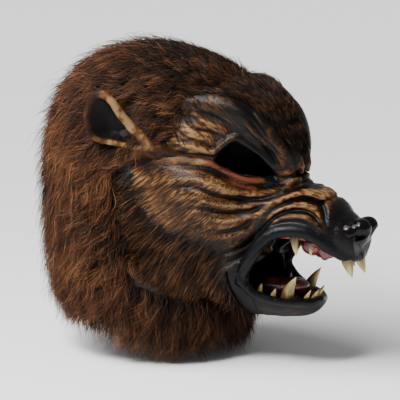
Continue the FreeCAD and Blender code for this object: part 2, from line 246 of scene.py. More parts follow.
def make_mesh(name, points, faces, material):
    """A piece from points in (x, f, u) and an array of equal-sided faces, wound outwards."""
    mesh = bpy.data.meshes.new(name)
    sides = faces.shape[1]
    mesh.vertices.add(len(points))
    mesh.vertices.foreach_set("co", to_blender(points).ravel())
    mesh.loops.add(faces.size)
    mesh.loops.foreach_set("vertex_index", faces.astype(np.int32).ravel())
    mesh.polygons.add(len(faces))
    mesh.polygons.foreach_set("loop_start", np.arange(0, faces.size, sides, dtype=np.int32))
    mesh.polygons.foreach_set("loop_total", np.full(len(faces), sides, np.int32))
    mesh.polygons.foreach_set("use_smooth", np.ones(len(faces), bool))
    mesh.update(calc_edges=True)
    mesh.validate()
    for each in (material if isinstance(material, (list, tuple)) else [material]):
        mesh.materials.append(each)
    piece = bpy.data.objects.new(name, mesh)
    bpy.context.collection.objects.link(piece)
    return piece


def outward(points, faces):
    """Winds every face so that the closed shape's volume is positive in Blender's axes."""
    p = to_blender(points).astype(float)
    a, b, c = p[faces[:, 0]], p[faces[:, 1]], p[faces[:, 2]]
    volume = np.einsum("ij,ij->", a, np.cross(b, c))
    return faces if volume > 0 else faces[:, ::-1]


def keep(piece, **fields):
    """Stores a number per vertex under each name, for the materials."""
    for name, values in fields.items():
        layer = piece.data.attributes.new(name, "FLOAT", "POINT")
        layer.data.foreach_set("value", np.asarray(values, np.float32))
    return piece


# ---------------------------------------------------------------- the latex head

# Half outlines across the muzzle: forward, middle height, half width, half height.
MUZZLE = ((96, -16, 58, 60), (122, -22, 50, 48), (146, -26, 43, 40), (164, -29, 39, 36),
          (182, -31, 35, 31), (200, -37, 30, 27), (214, -43, 26, 22), (226, -47, 21, 18))

# Where the upper lip's band runs, from the nose round the snarl to the corner: x, forward, up, radius.
UPPER_LIP = ((0, 220, -64, 7.5), (12, 214, -63, 8), (22, 202, -54, 8), (30, 190, -43.5, 7.5),
             (35, 176, -37, 7.5), (40, 161, -36, 7.5), (44, 146, -40, 8), (47, 134, -50, 8.5),
             (49, 124, -65, 8.5), (49, 115, -81, 7.5), (48, 111, -91, 6))
LOWER_LIP = ((48, 110, -93, 6), (46, 121, -104, 5), (40, 137, -110.5, 4.4), (33, 153, -113.5, 4),
             (23, 166, -114, 4), (11, 174, -115, 4), (0, 177, -114, 4))

# The brow's upper ridge, from the temple to between the eyes, and the folds that run with it.
BROW = ((60, 36, 86, 8), (54, 58, 90, 11), (48, 84, 90, 13), (42, 104, 81, 14), (36, 120, 68, 14),
        (29, 132, 53, 13), (21, 141, 38, 11), (14, 146, 24, 9), (10, 149, 10, 6))
BROW_FOLDS = (
    ((50, 74, 80, 5), (45, 96, 74, 6), (39, 113, 61, 6), (31, 126, 46, 6), (23, 136, 32, 5)),
    ((59, 56, 74, 5), (57, 74, 70, 6), (52, 92, 62, 5)),
    ((14, 132, 66, 6), (12, 143, 52, 7), (9, 151, 36, 7), (7, 156, 22, 6)),
)

# Creases in the side of the face as (forward, up) lines: points, half width, depth or, if positive, height.
FOLDS = (
    # the tan ridges round the snarl, and the black grooves between them
    (((202, -44), (194, -31), (182, -23), (167, -21), (151, -25), (139, -36), (130, -50)), 3.0, 3.0),
    (((199, -38), (192, -25), (181, -17), (166, -15), (150, -20), (138, -31), (128, -45)), 1.8, -3.0),
    (((196, -31), (190, -18), (180, -11), (166, -9), (150, -14), (136, -25), (126, -40)), 3.0, 3.2),
    (((199, -28), (193, -16), (183, -7), (168, -4), (154, -9), (141, -19), (131, -33)), 2.2, -3.6),
    (((203, -26), (197, -10), (185, -1), (169, 2), (152, -3), (137, -13), (126, -27), (119, -44)), 4.2, 3.8),
    (((188, 4), (178, 6), (166, 6), (155, 2), (145, -4)), 2.0, -3.2),
    (((207, -16), (205, -27), (206, -38), (209, -49)), 3.6, -1.0),
    # across the bridge of the nose
    (((196, -2), (190, -6), (184, -7)), 2.0, -2.2),
    (((182, 8), (175, 5), (168, 1)), 2.2, -2.6),
    (((171, 16), (163, 11), (153, 8)), 2.4, -3.0),
    (((163, 24), (153, 17), (143, 13)), 2.4, -2.8),
    # under the eye and out over the cheek
    (((150, 12), (134, 7), (118, 9), (100, 17), (84, 25), (66, 28), (46, 28)), 2.6, -3.4),
    (((148, 5), (132, 0), (116, 1), (98, 8), (80, 16), (60, 16), (42, 10)), 3.0, 2.6),
    (((146, 0), (130, -5), (112, -5), (94, 1), (76, 8), (58, 8)), 2.2, -3.2),
    (((142, -6), (126, -11), (108, -12), (90, -7), (72, -2)), 2.8, 2.6),
    (((138, -10), (122, -17), (104, -19), (86, -15), (68, -12)), 2.2, -3.0),
    (((132, -18), (116, -26), (100, -28), (84, -26)), 2.6, 2.2),
    (((126, -26), (112, -36), (98, -40), (84, -42)), 3.4, -4.2),
    (((122, -46), (112, -56), (100, -62), (86, -66)), 2.4, -2.2),
    (((118, -62), (110, -72), (98, -80), (84, -86)), 2.6, 2.0),
    # from the outer corner of the eye over the temple
    (((84, 36), (70, 39), (54, 40), (38, 42)), 2.4, -3.0),
    (((86, 40), (72, 46), (58, 50), (44, 56)), 2.6, 2.4),
    (((88, 46), (74, 53), (60, 58), (48, 66)), 1.8, -2.0),
    (((94, 58), (80, 64), (66, 68), (54, 78)), 1.8, -2.2),
    (((98, 64), (84, 71), (70, 77), (58, 86)), 2.0, 1.6),
    (((100, 70), (86, 78), (72, 84), (60, 93)), 1.6, -1.8),
    # the furrows that run down the brow
    (((116, 84), (128, 68), (138, 52), (147, 36)), 1.4, -1.8),
    (((121, 88), (133, 72), (143, 55), (151, 38)), 1.6, 1.4),
    (((108, 78), (121, 62), (132, 46), (142, 30)), 1.6, -2.2),
    (((112, 92), (126, 78), (137, 62)), 1.2, -1.4),
)

UPPER_LID = ((62, 86, 44, 3), (52, 104, 58, 4), (40, 118, 46, 5), (28, 132, 30, 5), (20, 139, 20, 4))
LOWER_LID = ((66, 80, 32, 3), (57, 94, 21.5, 6), (46, 108, 13.5, 8), (36, 120, 10.5, 6.5), (27, 130, 10, 4.5))
FACE_VOXEL = 1.4
FACE_BACK, FACE_BOTTOM = -38, -114

# Where the skin is parted at the corner of the mouth, and how far the corner laps and sinks under the others.
CORNER_TOP, CORNER_BACK, CORNER_FRONT = -83, 90, 118
CHEEK_END, CHEEK_BOTTOM = 96, -122
LAP, LAP_SINK, BACK_SINK = 4, 0.35, 3.4

# The eye hole seen square on: distance across the slanting socket, height, radius.
EYE_LINES = (((103, 18, 2), (90, 20, 5), (76, 25, 8), (60, 31, 7), (47, 34, 3)),
             ((100, 22, 3), (86, 32, 7), (72, 42, 7), (60, 44, 5), (49, 37, 3)))
EYE_SLANT, EYE_INNER_DEPTH = 30, 58


def muzzle(x, f, u):
    """Distance to the snout: ovals whose size and height change along the muzzle."""
    table = np.array(MUZZLE, float)
    middle, wide, tall = (np.interp(f, table[:, 0], table[:, n]) for n in (1, 2, 3))
    flat = (np.sqrt((x / wide) ** 2 + ((u - middle) / tall) ** 2) - 1) * np.minimum(wide, tall)
    ends = np.maximum(table[0, 0] - f, f - table[-1, 0])
    return np.maximum(flat, ends)


def block_out_head(clay):
    """The large forms of the head, with no creases."""
    clay.add_ball((0, -5, 10), (87, 107, 110), 1)
    clay.add_ball((0, 38, -14), (85, 84, 98), 20)
    x, f, u = clay.everywhere()
    clay.d = melt(clay.d, muzzle(x, f, u), 22)
    clay.add_ball((0, 66, 56), (62, 62, 54), 16)
    clay.add_ball((0, 112, 50), (34, 30, 38), 14)
    clay.add_ball((56, 50, 58), (20, 28, 24), 12)
    clay.add_ball((60, 62, 4), (24, 40, 26), 16)
    clay.add_ball((0, 24, -92), (77, 64, 56), 20)
    clay.add_ball((34, 88, -82), (24, 27, 28), 14)
    clay.add_rope(BROW, 14)
    clay.carve_ball((44, 118, 33), (22, 26, 19), 10)
    for fold in BROW_FOLDS:
        clay.add_rope(fold, 4)
    clay.add_ball((0, 144, 36), (8, 9, 24), 5)


def sculpt_face():
    """The whole face and cheeks as one skin, opened at the eyes and the mouth, and where its paint goes."""
    clay = Clay((0, -44, -146), (104, 252, 128), FACE_VOXEL)
    block_out_head(clay)
    block_out_jaw(clay)
    # lower eyelid and the brow's edge over the eye
    clay.add_rope(LOWER_LID, 3)
    clay.add_rope(UPPER_LID, 4)
    x, f, u = clay.everywhere()
    clay.d -= strokes(f[0], u[0], FOLDS)[None]
    clay.add_rope(UPPER_LIP, 4)
    depth = clay.d.copy()
    ridges = blur(depth, 7) - depth
    hollow = blur(thinned(clay.d, 2), 2) + 0.4
    clay.d = np.maximum(clay.d, -hollow)
    clay.d = -melt(-clay.d, mouth_shape(x, f, u), 2.5)
    clay.add_rope([(x0, f0, u0, radius * 0.7) for x0, f0, u0, radius in UPPER_LIP], 2)
    clay.add_rope(LOWER_LIP, 4)
    clay.d = -melt(-clay.d, eye_shape(x, f, u), 1.5)
    clay.d = np.maximum(clay.d, FACE_BACK - f)
    clay.d = np.maximum(clay.d, np.minimum(FACE_BOTTOM - u, CORNER_BACK - f))
    return clay, depth, face_zones(x, f, u, ridges, depth)


# The gloss band covers the lip's roll and a little more.
LIP_PAINT = [(x, f, u, radius + 1.5) for x, f, u, radius in UPPER_LIP]


def face_zones(x, f, u, ridges, depth):
    """How tan, glossy or red the paint is, 0 to 1, and where its streaks run as on the cheek or the brow. The
    tan also carries painted shade in the creases, under the brow and on the inner side, and a painted
    highlight on the temple.
    """
    lips = np.minimum(rope(x, f, u, LIP_PAINT), rope(x, f, u, LOWER_LIP))
    inner_eye = ball(x, f, u, (25, 131, 13), (9, 10, 8))
    end = smooth_step(196, 206, f + 0.25 * (u + 30))
    gloss = np.maximum(np.maximum(smooth_step(1.6, -0.6, lips), smooth_step(3, -2, inner_eye)), 0.9 * end)
    lid = smooth_step(2.6, 0.4, rope(x, f, u, LOWER_LID)) * smooth_step(62.5, 74.5, x + 0.25 * f)
    # tan on the ridges, black-brown in the creases: partly the mask's own paint, partly painted shade in the
    # creases
    tan_and_painted_light = 0.54 + 0.42 * np.clip(ridges, -1.5, 0.9)
    tan_and_painted_light = tan_and_painted_light - 0.26 * smooth_step(-98, -108, u)  # the jaw is left dark
    tan_and_painted_light = tan_and_painted_light - 0.3 * smooth_step(184, 204, f)  # and so is the muzzle's end
    tan_and_painted_light = tan_and_painted_light - 0.3 * smooth_step(84, 112, f) * smooth_step(20, 34, u)  # and the brow
    # painted shade: darker round the top of the eye hole, under the brow's overhang
    tan_and_painted_light = tan_and_painted_light - 0.6 * smooth_step(14, 0, eye_shape(x, f, u)) * smooth_step(16, 26, u)
    tan_and_painted_light = tan_and_painted_light - 0.25 * smooth_step(14, 2, lips)
    # a painted highlight on the temple
    tan_and_painted_light = tan_and_painted_light + 0.2 * smooth_step(30, 8, ball(x, f, u, (74, 54, 60), (16, 24, 10)))
    tan_and_painted_light = tan_and_painted_light - 0.2 * smooth_step(66, 84, u)
    # the inner side is painted near black: painted shade for the dark inside of the mask
    tan_and_painted_light = np.where(depth < INSIDE, -0.4, tan_and_painted_light)
    # below a line from the ear to the mouth's corner the cheek is darker, and just above it a little lighter
    hairline = np.interp(f, (-20, 22, 72, 104), (20, -33, -46, -52))
    tan_and_painted_light = tan_and_painted_light + 0.14 * smooth_step(26, 14, u) * smooth_step(-4, 14, u - hairline) * smooth_step(120, 90, f)
    tan_and_painted_light = tan_and_painted_light - 0.3 * smooth_step(6, -16, u - hairline) * smooth_step(126, 104, f)
    cheek = smooth_step(34, 18, u - 0.12 * (90 - f)) * smooth_step(136, 96, f)
    brow = smooth_step(24, 40, u) * smooth_step(60, 90, f)
    zones = {"tan_and_painted_light": tan_and_painted_light, "gloss": gloss * (depth > INSIDE), "lid": lid, "cheek": cheek, "brow": brow}
    return {name: np.broadcast_to(field, ridges.shape) for name, field in zones.items()}


def split_face(whole, depth):
    """Parts the skin into what rides on the head, what rides on the jaw and the corner between them.

    The corner laps a little under both of the others, and deeper under the cheek behind it."""
    x, f, u = whole.everywhere()
    sunk = depth + LAP_SINK + BACK_SINK * (1 - smooth_step(CORNER_BACK + 2, CORNER_BACK + 10, f))
    lining = np.maximum(np.maximum(sunk, -sunk - SKIN), -mouth_shape(x, f, u))
    lips = whole.d + LAP_SINK + BACK_SINK * (f < CORNER_BACK + 8)
    above = CORNER_TOP - u
    behind = f - CHEEK_END
    corner = np.maximum(np.maximum(-above, f - CORNER_FRONT), CORNER_BACK - f)
    parts = {
        "face_skin_cast": np.maximum(whole.d, np.minimum(above, np.maximum(behind, CHEEK_BOTTOM - u))),
        "mouth_corner_skin": np.maximum(np.minimum(lips, lining), corner - LAP),
        "jaw_skin_cast": np.maximum(whole.d, np.maximum(-above, CORNER_FRONT - f)),
    }
    return {name: whole.copy(distances) for name, distances in parts.items()}


def eye_shape(x, f, u):
    """Distance to the eye hole, a slanting almond that runs straight through the skin."""
    turn = math.radians(EYE_SLANT)
    across = math.cos(turn) * f - math.sin(turn) * x
    depth = math.sin(turn) * f + math.cos(turn) * x
    lines = [rope(across, 0, u, [(r, 0, height, radius) for r, height, radius in line]) for line in EYE_LINES]
    return np.maximum(np.minimum(*lines), EYE_INNER_DEPTH - depth)


def mouth_shape(x, f, u):
    """Distance to the open mouth: under the snarling lip, over the jaw's rim and out in front of the chin."""
    lip = np.interp(f, (104, 112, 121, 133, 145, 160, 176, 188, 201, 211, 240),
                    (-89, -82, -72, -58, -46, -42, -43, -49, -59, -66, -68))
    rim = np.interp(f, (104, 112, 124, 138, 153, 166, 178, 192),
                    (-91, -98, -106, -111, -114, -115, -115, -200))
    throat = 108 + 5 * smooth_step(46, 38, x)  # a web of skin closes the mouth behind this; it is dark, as painted shade for the inside of the mouth
    return np.maximum(np.maximum(u - lip, rim - u), throat - f)


def block_out_jaw(clay):
    """The large forms of the jaw."""
    for middle, radii in (
        ((0, 104, -104), (42, 26, 33)),
        ((0, 128, -106), (38, 30, 30)),
        ((0, 150, -108), (29, 26, 25)),
        ((0, 163, -110), (19, 18, 18)),
    ):
        clay.add_ball(middle, radii, 14)


def finish_clay(clay, name, material, **fields):
    """The clay's surface as a piece, with the value of each field stored at its vertices."""
    points, quads = clay.surface()
    quads = outward(points, quads)
    piece = make_mesh(name, points, quads, material)
    return keep(piece, **{key: clay.sample(field, points) for key, field in fields.items()})


# ---------------------------------------------------------------- nose, ears, gums and tongue

def sculpt_nose():
    """A rounded pad with wings, two nostrils and a groove down its middle."""
    clay = Clay((0, 196, -76), (30, 252, -14), 0.8)
    clay.add_ball((0, 218, -39), (19, 16, 15), 1)
    clay.add_ball((7, 229, -32), (11, 10, 10), 5)
    clay.add_ball((15, 216, -38), (8, 12, 11), 4)
    clay.add_ball((0, 216, -55), (13, 9, 12), 6)
    clay.carve_rope(((8.5, 246, -38, 4.2), (11, 234, -38.5, 4.6), (15, 227, -40, 3.6), (21, 223, -43, 2)), 2)
    clay.carve_rope(((0, 244, -36, 0.9), (0, 236, -46, 1.1), (0, 228, -58, 1.3), (0, 222, -68, 1)), 2)
    return clay


EAR_RIM = ((88, 26, 47, 3.6), (94, 12, 62, 4.6), (101, -1, 78, 4.8), (107, -10, 94, 4.2),
           (110, -19, 102, 3.4), (113, -29, 99, 2.8), (114, -36, 86, 2.4), (113, -37, 70, 2.2),
           (109, -31, 54, 2.2), (101, -12, 49, 2), (93, 8, 46, 2.2), (88, 24, 46, 3))
# How the rim flows down into the temple, and the small lobe under the cup.
EAR_ROOT = ((88, 26, 47, 4.5), (80, 34, 44, 6.5), (74, 44, 40, 6.5), (68, 56, 36, 4))
EAR_LOBE = ((92, -4, 30, 3), (92, 8, 37, 6), (87, 20, 40, 5.5), (80, 32, 36, 4))
EAR_DEEP = (84, -6, 66)
EAR_SPOKES = 60


def sculpt_ear():
    """A cupped ear: a rolled rim, with a skin that runs from it to the deepest point of the cup."""
    clay = Clay((60, -52, 18), (126, 70, 116), 1.1)
    clay.add_rope(EAR_RIM, 1)
    rim = curve_through(EAR_RIM, 8)
    deep = np.array(EAR_DEEP, float)
    for n in np.linspace(0, len(rim) - 1, EAR_SPOKES).astype(int):
        start = rim[n, :3]
        belly = 0.45 * start + 0.55 * deep + np.array([-5, -3, 0])
        clay.add_rope([(*start, 2.0), (*belly, 2.4), (*deep, 4)], 3)
    clay.add_rope(EAR_ROOT, 4)
    clay.add_rope(EAR_LOBE, 3)
    clay.add_rope(((96, 6, 62, 4), (88, 16, 58, 6), (80, 28, 52, 8)), 5)
    clay.d = blur(clay.d, 3).astype(np.float32)
    x, f, u = clay.everywhere()
    rolled = rope(x, f, u, EAR_RIM)
    front = smooth_step(-34, -8, f)
    root = smooth_step(3, 0, rope(x, f, u, EAR_ROOT))
    lobe = smooth_step(3, 0, rope(x, f, u, EAR_LOBE))
    rim = smooth_step(3.5, 0.5, rolled) * (0.55 + 0.4 * front)
    return clay, np.maximum.reduce([rim, 0.62 * root, 0.5 * lobe])


UPPER_GUM_LINE = ((33, 140, -43, 5), (31, 158, -42, 6), (28, 174, -43, 6), (24, 188, -48, 6),
                  (17, 200, -56, 6.5), (9, 208, -60, 6.5), (0, 210, -61, 6.5))
LOWER_GUM_LINE = ((30, 116, -115, 6), (29, 134, -118, 6), (22, 150, -121, 6.5), (14, 160, -122, 6),
                  (8, 165, -123, 6), (0, 166, -123, 6))


def sculpt_gum(line, plates, teeth):
    """A ridged gum with plates across it, swollen round each tooth."""
    points = np.array(line)
    clay = Clay((0, points[:, 1].min() - 24, points[:, 2].min() - 14),
                (points[:, 0].max() + 12, points[:, 1].max() + 10, points[:, 2].max() + 14), 0.9)
    clay.add_rope(line, 2)
    for middle, radii in plates:
        clay.add_ball(middle, radii, 6)
    for x, f, root, radius in teeth:
        clay.add_ball((x, f, root), (radius + 2, radius + 2, 4.5), 2.5)
    x, f, u = clay.everywhere()
    ripple = 0.8 * np.sin(f * 0.8) * smooth_step(20, 6, x) * smooth_step(0, 8, np.abs(points[:, 2].min() - u))
    clay.d += ripple.astype(np.float32)
    return clay


# The palate, hanging in folds behind the front fangs, and the floor of the mouth: middles and radii.
UPPER_PLATES = (((0, 168, -36), (31, 44, 7)), ((0, 174, -54), (16, 17, 14)), ((7, 187, -60), (10, 9, 10)),
                ((12, 170, -55), (7, 8, 9)))
PALATE_TOP, PALATE_FRONT = -48, 196
LOWER_PLATES = (((0, 136, -123), (27, 26, 6)),)


def sculpt_tongue():
    """A tongue in three swells, with a groove along it."""
    clay = Clay((0, 92, -128), (26, 172, -88), 0.9)
    clay.add_ball((0, 112, -107), (19, 24, 9), 1)
    clay.add_ball((0, 134, -105), (17, 22, 8.5), 8)
    clay.add_ball((0, 150, -102), (13, 12, 6.5), 8)
    clay.carve_rope(((0, 104, -95, 2), (0, 130, -94.5, 2.2), (0, 152, -93, 1.6)), 4)
    return clay


# ---------------------------------------------------------------- teeth

# x, forward, height of the gum, length, root radius, lean outwards, lean forwards, roundness across
TEETH = {
    "upper_canine": ((13, 214, -58, 26, 7.2, 1, 8, 0.85),),
    "upper_incisors": ((4.5, 216, -60, 14, 3.6, 0, 4, 0.85),),
    "upper_premolars": ((31, 163, -43, 20, 5.0, 1, 3, 0.75), (28, 181, -46, 17, 3.2, 1, 0, 0.7)),
    "lower_canine": ((23, 150, -115, 28, 7.6, 4, 13, 0.7),),
    "lower_incisors": ((5, 170, -120, 17, 3.4, 0.5, 8, 0.7), (14, 166, -120, 18, 3.8, 1, 8, 0.7)),
    "lower_premolars": ((31, 122, -110, 13, 3.7, 1, 3, 0.8), (30, 137, -115, 14, 4.0, 1, 4, 0.8)),
}
TOOTH_RINGS, TOOTH_SIDES = 22, 20
SIDES = (("right", -1), ("left", 1))


def fang(sign, spec, up):
    """Rings of points up one curved, faintly ribbed tooth, with a closed root and a blunt tip."""
    x, f, gum, length, radius, lean_out, lean_forward, flat = spec
    along = np.linspace(-0.22, 1, TOOTH_RINGS)
    around = np.linspace(0, 2 * np.pi, TOOTH_SIDES, endpoint=False)
    taper = np.where(along < 0.1, 0.93 + 0.7 * along, 1.0)
    taper = taper * np.clip(1 - np.clip(along, 0, 1) ** 2.0, 0.02, 1) ** 0.85
    bend = np.clip(along, 0, 1) ** 1.8
    ribs = 1 + 0.035 * np.sin(7 * around + x)[None] * np.sin(np.pi * np.clip(along, 0, 1))[:, None]
    width = radius * taper[:, None] * ribs
    points = np.stack([
        sign * (x + lean_out * bend[:, None] + flat * width * np.cos(around)),
        f + lean_forward * bend[:, None] + width * np.sin(around),
        gum + up * length * np.broadcast_to(along[:, None], width.shape),
    ], axis=-1).reshape(-1, 3)
    rows = np.arange(TOOTH_RINGS - 1)[:, None] * TOOTH_SIDES
    here, beside = np.arange(TOOTH_SIDES), (np.arange(TOOTH_SIDES) + 1) % TOOTH_SIDES
    quads = np.stack([rows + here, rows + beside, rows + TOOTH_SIDES + beside, rows + TOOTH_SIDES + here], -1)
    quads = quads.reshape(-1, 4)
    # each end closes on a middle point
    ends = np.vstack([points[:TOOTH_SIDES].mean(0), points[-TOOTH_SIDES:].mean(0)])
    ends[1, 2] += up * 0.25
    foot, tip = len(points), len(points) + 1
    last = (TOOTH_RINGS - 1) * TOOTH_SIDES
    triangles = np.vstack([
        np.stack([beside, here, np.full(TOOTH_SIDES, foot)], -1),
        np.stack([last + here, last + beside, np.full(TOOTH_SIDES, tip)], -1),
    ])
    halves = np.vstack([quads[:, [0, 1, 2]], quads[:, [0, 2, 3]]])
    height = np.append(np.repeat(along, TOOTH_SIDES), [along[0], 1])
    return np.vstack([points, ends]), np.vstack([halves, triangles]), height


def tooth_piece(name, signs, specs, up, material):
    """One piece with a tooth for each spec, on each side that signs name."""
    points, faces, heights, start = [], [], [], 0
    for sign in signs:
        for spec in specs:
            p, t, h = fang(sign, spec, up)
            points.append(p)
            faces.append(outward(p, t) + start)
            heights.append(h)
            start += len(p)
    piece = make_mesh(name, np.vstack(points), np.vstack(faces), material)
    return keep(piece, height=np.concatenate(heights))


# ---------------------------------------------------------------- the fur hood

# Flat ovals down the hood's knitted backing: height, how far back the middle is, half width, half length.
HOOD = ((130, 5, 3, 4), (127, 5, 26, 32), (115, 5, 54, 68), (92, 5, 76, 95), (56, 6, 92, 112),
        (14, 6, 99, 119), (-40, 8, 100, 117), (-84, 11, 99, 109), (-116, 15, 92, 98),
        (-142, 16, 84, 88), (-170, 16, 78, 80))
HEM_PIVOT, PILE_BACK, PILE_SLOPE = -100, -112, 0.24
HEM_TOP, HEM_WIDTH = -4, 12
CROWN_SEAM, RUFF_SEAM, NAPE_SEAM, THROAT_SEAM, THROAT_BACK = 62, -75, -62, 46, 30
HOOD_TUCK = 34  # how far behind its front edge the hood leaves the latex
HOOD_START = 0.004  # where the backing starts, just below the middle of the crown
HOOD_AROUND, HOOD_DOWN = 180, 90


def hood_edge(f, u):
    """How far a point of the side view is behind the hood's front edge."""
    face = np.interp(u, (-150, -139, -118, -98, -70, -30, 25, 48, 64, 86, 100),
                     (80, 80, 80, 30, -4, -20, -20, 10, 44, 78, 140)) - f
    return np.maximum(face, u - 86 + 0.4 * (f - 78))


def above_hem(f, u):
    """How far a root is above the last row of pile, which hangs below it to the hem."""
    return u - PILE_BACK + (f - HEM_PIVOT) * PILE_SLOPE


def skull(x, f, u):
    """The coarse head that the hood is pulled over."""
    head = melt(ball(x, f, u, (0, -5, 10), (87, 107, 110)), ball(x, f, u, (0, 38, -14), (85, 84, 98)), 20)
    neck = ball(x, f, u, (0, -12, -140), (72, 80, 90))
    return melt(head, neck, 20)


def hood_point(turn, drop):
    """A point of the hood: turn goes round from the wearer's left, drop down from the crown, 0 to 1."""
    table = curve_through(HOOD, 6)
    at = drop * (len(table) - 1)
    up, back, wide, long = (np.interp(at, np.arange(len(table)), table[:, n]) for n in range(4))
    point = np.stack([wide * np.cos(turn), -back + long * np.sin(turn), up], -1)
    # near its front edge the backing comes down on to the latex
    axis = np.stack([0 * up, -back, np.clip(up, -200, 60)], -1)
    inwards = axis - point
    inwards /= np.linalg.norm(inwards, axis=-1, keepdims=True)
    landed = point.copy()
    for _ in range(6):
        gap = np.clip(skull(*np.moveaxis(landed, -1, 0)) - 3, -8, 30)
        landed = landed + inwards * gap[..., None]
    free = smooth_step(-4, HOOD_TUCK, hood_edge(point[..., 1], point[..., 2]))[..., None]
    return landed + (point - landed) * free


def ring_quads(rows, around):
    """Quads between rows of points that each go right round."""
    index = np.arange(rows * around).reshape(rows, around)
    beside = np.roll(index, -1, axis=1)
    return np.stack([index[:-1], beside[:-1], beside[1:], index[1:]], -1).reshape(-1, 4)


def hood_backing(material):
    """The knitted backing as one sheet, open at the face and the hem."""
    around = np.linspace(0, 2 * np.pi, HOOD_AROUND, endpoint=False)
    turn, drop = np.meshgrid(around, np.linspace(HOOD_START, 1, HOOD_DOWN))
    points = hood_point(turn, drop).reshape(-1, 3)
    quads = ring_quads(HOOD_DOWN, HOOD_AROUND)
    middle = points[quads].mean(1)
    held = (hood_edge(middle[:, 1], middle[:, 2]) > -3) & (above_hem(middle[:, 1], middle[:, 2]) > -6)
    quads = quads[held]
    used, renumbered = np.unique(quads, return_inverse=True)
    return make_mesh("hood_backing", points[used], renumbered.reshape(-1, 4), material)


def hem_row(turn, level):
    """Points of the hood at each turn where it is that far above the last row of pile."""
    low, high = np.zeros(len(turn)), np.ones(len(turn))
    for _ in range(16):
        drop = (low + high) / 2
        point = hood_point(turn, drop)
        above = above_hem(point[:, 1], point[:, 2]) > level
        low, high = np.where(above, drop, low), np.where(above, high, drop)
    return hood_point(turn, low)


def hem_band(material):
    """The tape bound round the backing's lower edge, as one strip."""
    turn = np.linspace(0, 2 * np.pi, HOOD_AROUND, endpoint=False)
    rows = [hem_row(turn, level) for level in (HEM_TOP, HEM_TOP - HEM_WIDTH / 2, HEM_TOP - HEM_WIDTH)]
    return make_mesh("hem_tape", np.vstack(rows), ring_quads(len(rows), HOOD_AROUND), material)


def on_side(x, f, u):
    """Between the crown and the ruff, in front of the nape."""
    return (u <= CROWN_SEAM) & (u > RUFF_SEAM) & (f >= NAPE_SEAM)


def on_ruff(x, f, u):
    """Below the sides, all round but for the throat."""
    return (u <= RUFF_SEAM) & ((f <= THROAT_BACK) | (np.abs(x) >= THROAT_SEAM))


# The panel that a root belongs to, by the node that the panel stands for.
PANELS = {
    "crown_fur": lambda x, f, u: u > CROWN_SEAM,
    "nape_fur": lambda x, f, u: (u <= CROWN_SEAM) & (u > RUFF_SEAM) & (f < NAPE_SEAM),
    "right_side_fur": lambda x, f, u: on_side(x, f, u) & (x < 0),
    "left_side_fur": lambda x, f, u: on_side(x, f, u) & (x >= 0),
    "throat_fur": lambda x, f, u: (u <= RUFF_SEAM) & (f > THROAT_BACK) & (np.abs(x) < THROAT_SEAM),
    "right_ruff_fur": lambda x, f, u: on_ruff(x, f, u) & (x < 0),
    "left_ruff_fur": lambda x, f, u: on_ruff(x, f, u) & (x >= 0),
}


def unit(v):
    """Vectors along the last axis, brought to length 1."""
    return v / np.maximum(np.linalg.norm(v, axis=-1, keepdims=True), 1e-9)


def hood_roots(count):
    """Points spread evenly over the hood, with their outward directions."""
    turn, drop = rng.uniform(0, 2 * np.pi, count * 3), rng.uniform(HOOD_START, 1, count * 3)
    step = 0.01
    here = hood_point(turn, drop)
    right = hood_point(turn + step, drop) - here
    down = hood_point(turn, np.minimum(drop + step, 1.01)) - here
    out = np.cross(right, down)
    area = np.linalg.norm(out, axis=-1)
    chosen = rng.uniform(0, 1, len(area)) < area / np.quantile(area, 0.97)
    chosen &= (hood_edge(here[:, 1], here[:, 2]) > -2) & (above_hem(here[:, 1], here[:, 2]) > 0)
    out = unit(out)
    from_middle = here - np.array([0, -6, -20])
    out *= np.sign((out * from_middle).sum(-1, keepdims=True))
    return here[chosen][:count], out[chosen][:count]


STRAND_RINGS = 6  # points along a strand


def grow(roots, out, flow, length, lift, sag, curl, clump_size, clump):
    """Centre lines of strands, which leave along the flow, lift, sag and join a lock at their tips."""
    count = len(roots)
    t = np.linspace(0, 1, STRAND_RINGS)[None, :, None]
    wild = rng.normal(0, 1, (count, 3))
    along = unit(flow - (flow * out).sum(-1, keepdims=True) * out + 0.16 * wild)
    side = unit(np.cross(along, out))
    # the waves and leanings of a lock belong to a cell of space, so that neighbours share them
    cells = np.floor(roots / clump_size).astype(int)
    _, lock = np.unique(cells, axis=0, return_inverse=True)
    lock = lock.ravel()
    locks = lock.max() + 1
    phase = rng.uniform(0, 2 * np.pi, locks)[lock][:, None, None]
    lean = rng.normal(0, 1, locks)[lock][:, None, None]
    size = length[:, None, None]
    path = roots[:, None] + along[:, None] * size * t
    path = path + out[:, None] * size * lift[:, None, None] * (t - 0.45 * t**2) * 1.4
    path = path + np.array([0, 0, -1.0]) * size * sag * t**2
    path = path + side[:, None] * size * curl * (np.sin(phase + 5 * t) - np.sin(phase) + 0.8 * lean * t) * t
    total = np.zeros((locks, STRAND_RINGS, 3))
    np.add.at(total, lock, path)
    heart = total / np.bincount(lock)[:, None, None]
    return path + (heart[lock] - path) * clump * t**1.3, lock


